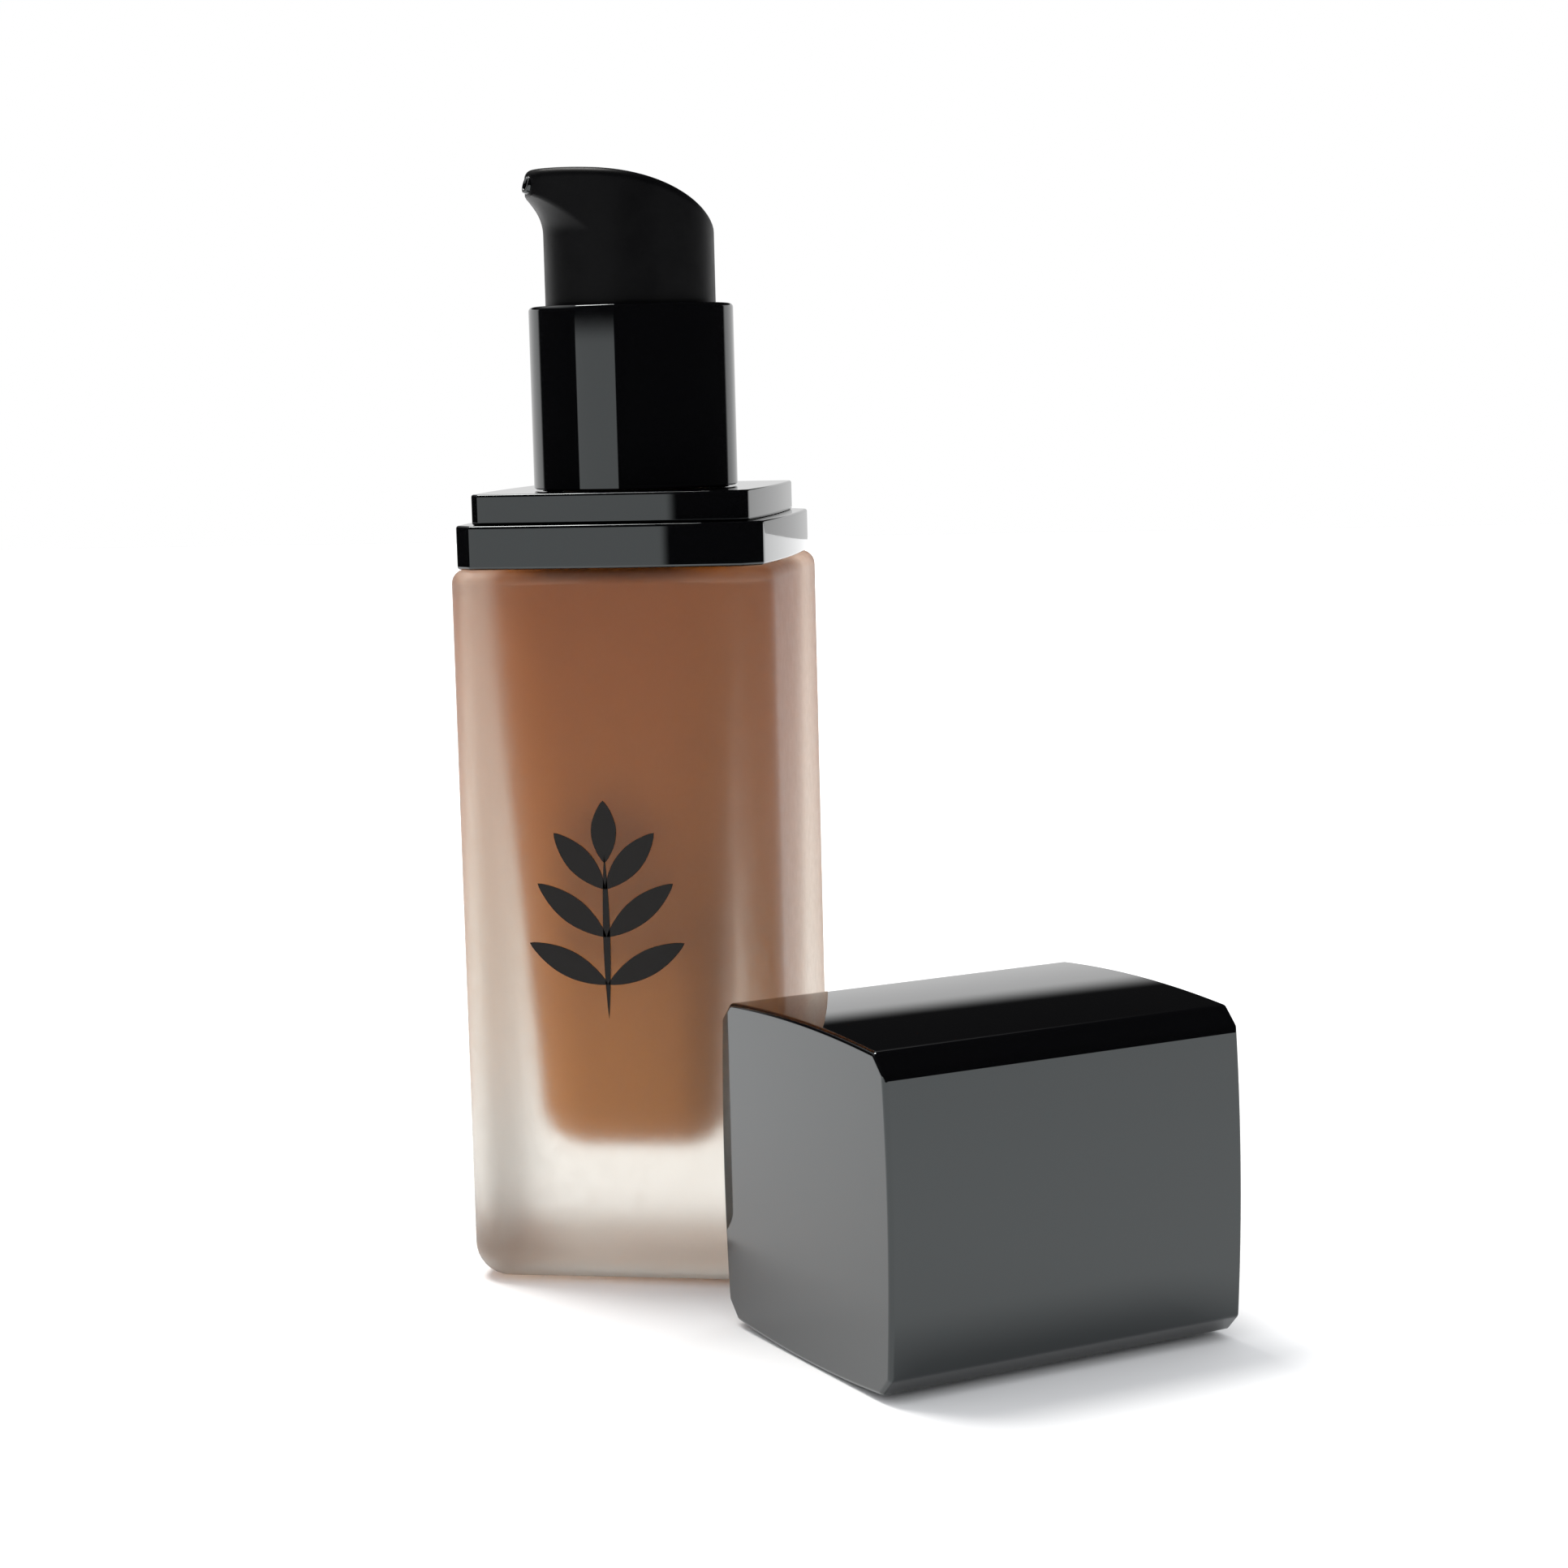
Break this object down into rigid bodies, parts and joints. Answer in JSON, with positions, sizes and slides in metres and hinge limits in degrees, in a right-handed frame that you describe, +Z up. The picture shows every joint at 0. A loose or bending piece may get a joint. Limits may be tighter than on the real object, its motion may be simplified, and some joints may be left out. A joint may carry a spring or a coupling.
{
  "type": "foundation bottle",
  "caption": "Square frosted glass cosmetic bottle with a screw-on treatment pump, swivelling spouted head and a square gloss overcap lying beside it.",
  "frame": {"origin": "centre of the bottle's base, on the surface it stands on", "axes": "+Z up the bottle's axis, -Y out of its printed front, +X to the right of that front"},
  "size_m": [0.0824, 0.073, 0.1178],
  "materials": {
    "frosted_glass": "acid-frosted, satin",
    "foundation": "opaque liquid cosmetic",
    "gloss_black": "high gloss lacquer",
    "satin_black": "satin moulded",
    "black_moulding": "moulded",
    "natural_plastic": "natural polypropylene",
    "piston_plastic": "soft polyethylene",
    "gasket_foam": "foamed liner",
    "spring_steel": "drawn wire",
    "glass_ball": "polished"
  },
  "bodies": {
    "bottle": {"bottle_glass": "frosted_glass", "foundation_fill": "foundation", "shoulder_plate": "gloss_black", "cap_seat": "gloss_black"},
    "overcap": {"overcap_shell": "gloss_black", "overcap_liner": "black_moulding"},
    "pump": {"pump_housing": "natural_plastic", "lock_ring": "natural_plastic", "neck_gasket": "gasket_foam", "dip_tube": "natural_plastic", "return_spring": "spring_steel"},
    "closure": {"screw_closure": "black_moulding", "collar_sleeve": "gloss_black"},
    "plunger": {"piston_stem": "natural_plastic", "stem_plug": "natural_plastic"},
    "piston": {"main_piston": "piston_plastic"},
    "actuator": {"actuator_head": "satin_black", "actuator_core": "black_moulding", "nozzle_insert": "black_moulding"},
    "ball": {"check_ball": "glass_ball"}
  },
  "joints": [
    {"name": "overcap_lift", "type": "slide", "parent": "bottle", "child": "overcap", "axis": [0, 0, 1], "range_m": [0, 0.13]},
    {"name": "pump_lift", "type": "slide", "parent": "bottle", "child": "pump", "axis": [0, 0, 1], "range_m": [0, 0.00477]},
    {"name": "closure_turn", "type": "hinge", "parent": "pump", "child": "closure", "pos_m": [0, 0, 0.09], "axis": [0, 0, 1], "range_deg": [0, 540]},
    {"name": "actuator_press", "type": "slide", "parent": "pump", "child": "plunger", "axis": [0, 0, -1], "range_m": [0, 0.0045], "stiffness_N_per_m": 1200, "springref_m": -0.004, "deforming": ["return_spring"]},
    {"name": "piston_slip", "type": "slide", "parent": "plunger", "child": "piston", "axis": [0, 0, 1], "range_m": [0, 0.0007]},
    {"name": "actuator_swivel", "type": "hinge", "parent": "plunger", "child": "actuator", "pos_m": [0, 0, 0.105], "axis": [0, 0, 1], "continuous": true},
    {"name": "ball_lift", "type": "slide", "parent": "pump", "child": "ball", "axis": [0, 0, 1], "range_m": [0, 0.001]}
  ],
  "couplings": [
    {"joint": "pump_lift", "follows": "closure_turn", "m_per_rad": 0.00050532}
  ]
}
